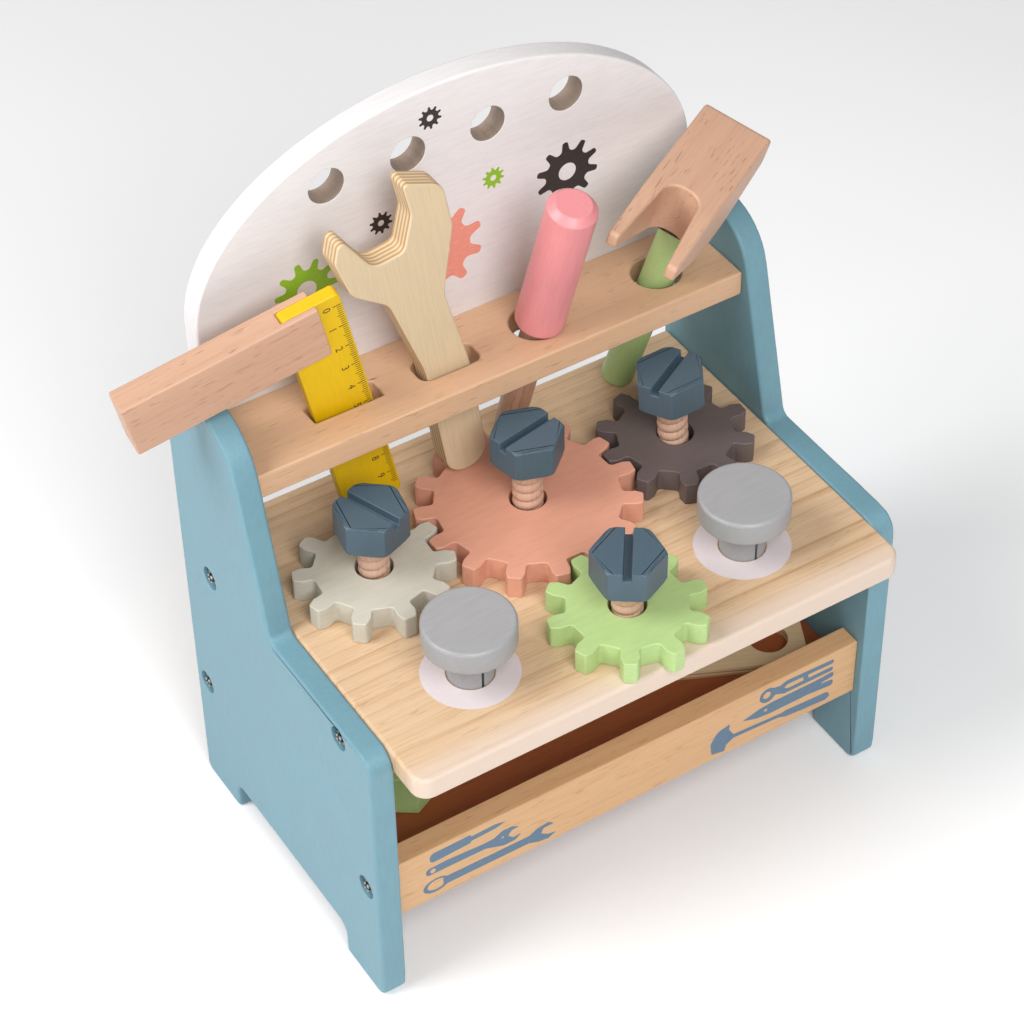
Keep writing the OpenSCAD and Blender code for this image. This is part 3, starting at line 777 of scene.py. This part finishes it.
def build_floor():
    mesh = bpy.data.meshes.new("floor")
    reach = 4  # metres from the middle to each side
    corners = [(-reach, -reach, 0), (reach, -reach, 0), (reach, reach, 0), (-reach, reach, 0)]
    mesh.from_pydata(corners, [], [(0, 1, 2, 3)])
    floor = bpy.data.objects.new("floor", mesh)
    bpy.context.scene.collection.objects.link(floor)
    mesh.materials.append(floor_finish())


def area_light(name, at, aim, size, power):
    """White disk light of a size in metres and a power in watts."""
    data = bpy.data.lights.new(name, "AREA")
    data.shape = "DISK"
    data.size = size
    data.energy = power
    light = bpy.data.objects.new(name, data)
    bpy.context.scene.collection.objects.link(light)
    light.location = at
    light.rotation_euler = (Vector(aim) - Vector(at)).to_track_quat("-Z", "Y").to_euler()


def build_lights():
    world = bpy.data.worlds.new("studio")
    world.use_nodes = True
    background = world.node_tree.nodes["Background"]
    background.inputs["Color"].default_value = (1, 1, 1, 1)
    background.inputs["Strength"].default_value = 0.3
    bpy.context.scene.world = world
    middle = (0, 0, 0.12)
    area_light("key_top_left", (-0.9, 0.2, 1.1), middle, size=0.8, power=13)
    area_light("key_front", (-0.2, -1.0, 1.1), middle, size=0.9, power=16)
    area_light("low_left", (-1.3, -0.25, 0.4), middle, size=0.7, power=1.2)
    bpy.context.scene.view_settings.view_transform = "Standard"


def build_camera():
    a = math.radians(CAMERA_AZIMUTH)
    e = math.radians(CAMERA_ELEVATION)
    back = Vector((math.sin(a) * math.cos(e), -math.cos(a) * math.cos(e), math.sin(e)))
    right = Vector((math.cos(a), math.sin(a), 0))
    up = back.cross(right)
    level = Matrix((right, up, back)).transposed().to_4x4()
    data = bpy.data.cameras.new("camera")
    data.sensor_width = 36
    data.lens = CAMERA_LENS
    camera = bpy.data.objects.new("camera", data)
    bpy.context.scene.collection.objects.link(camera)
    camera.matrix_world = Matrix.Translation(CAMERA_AT) @ level @ turned("Z", CAMERA_ROLL)
    bpy.context.scene.camera = camera


build_camera()
build_lights()
build_floor()
build_frame()
build_gears()
build_bolts()
build_pegs()
build_tools()
build_board_prints()
build_rail_prints()
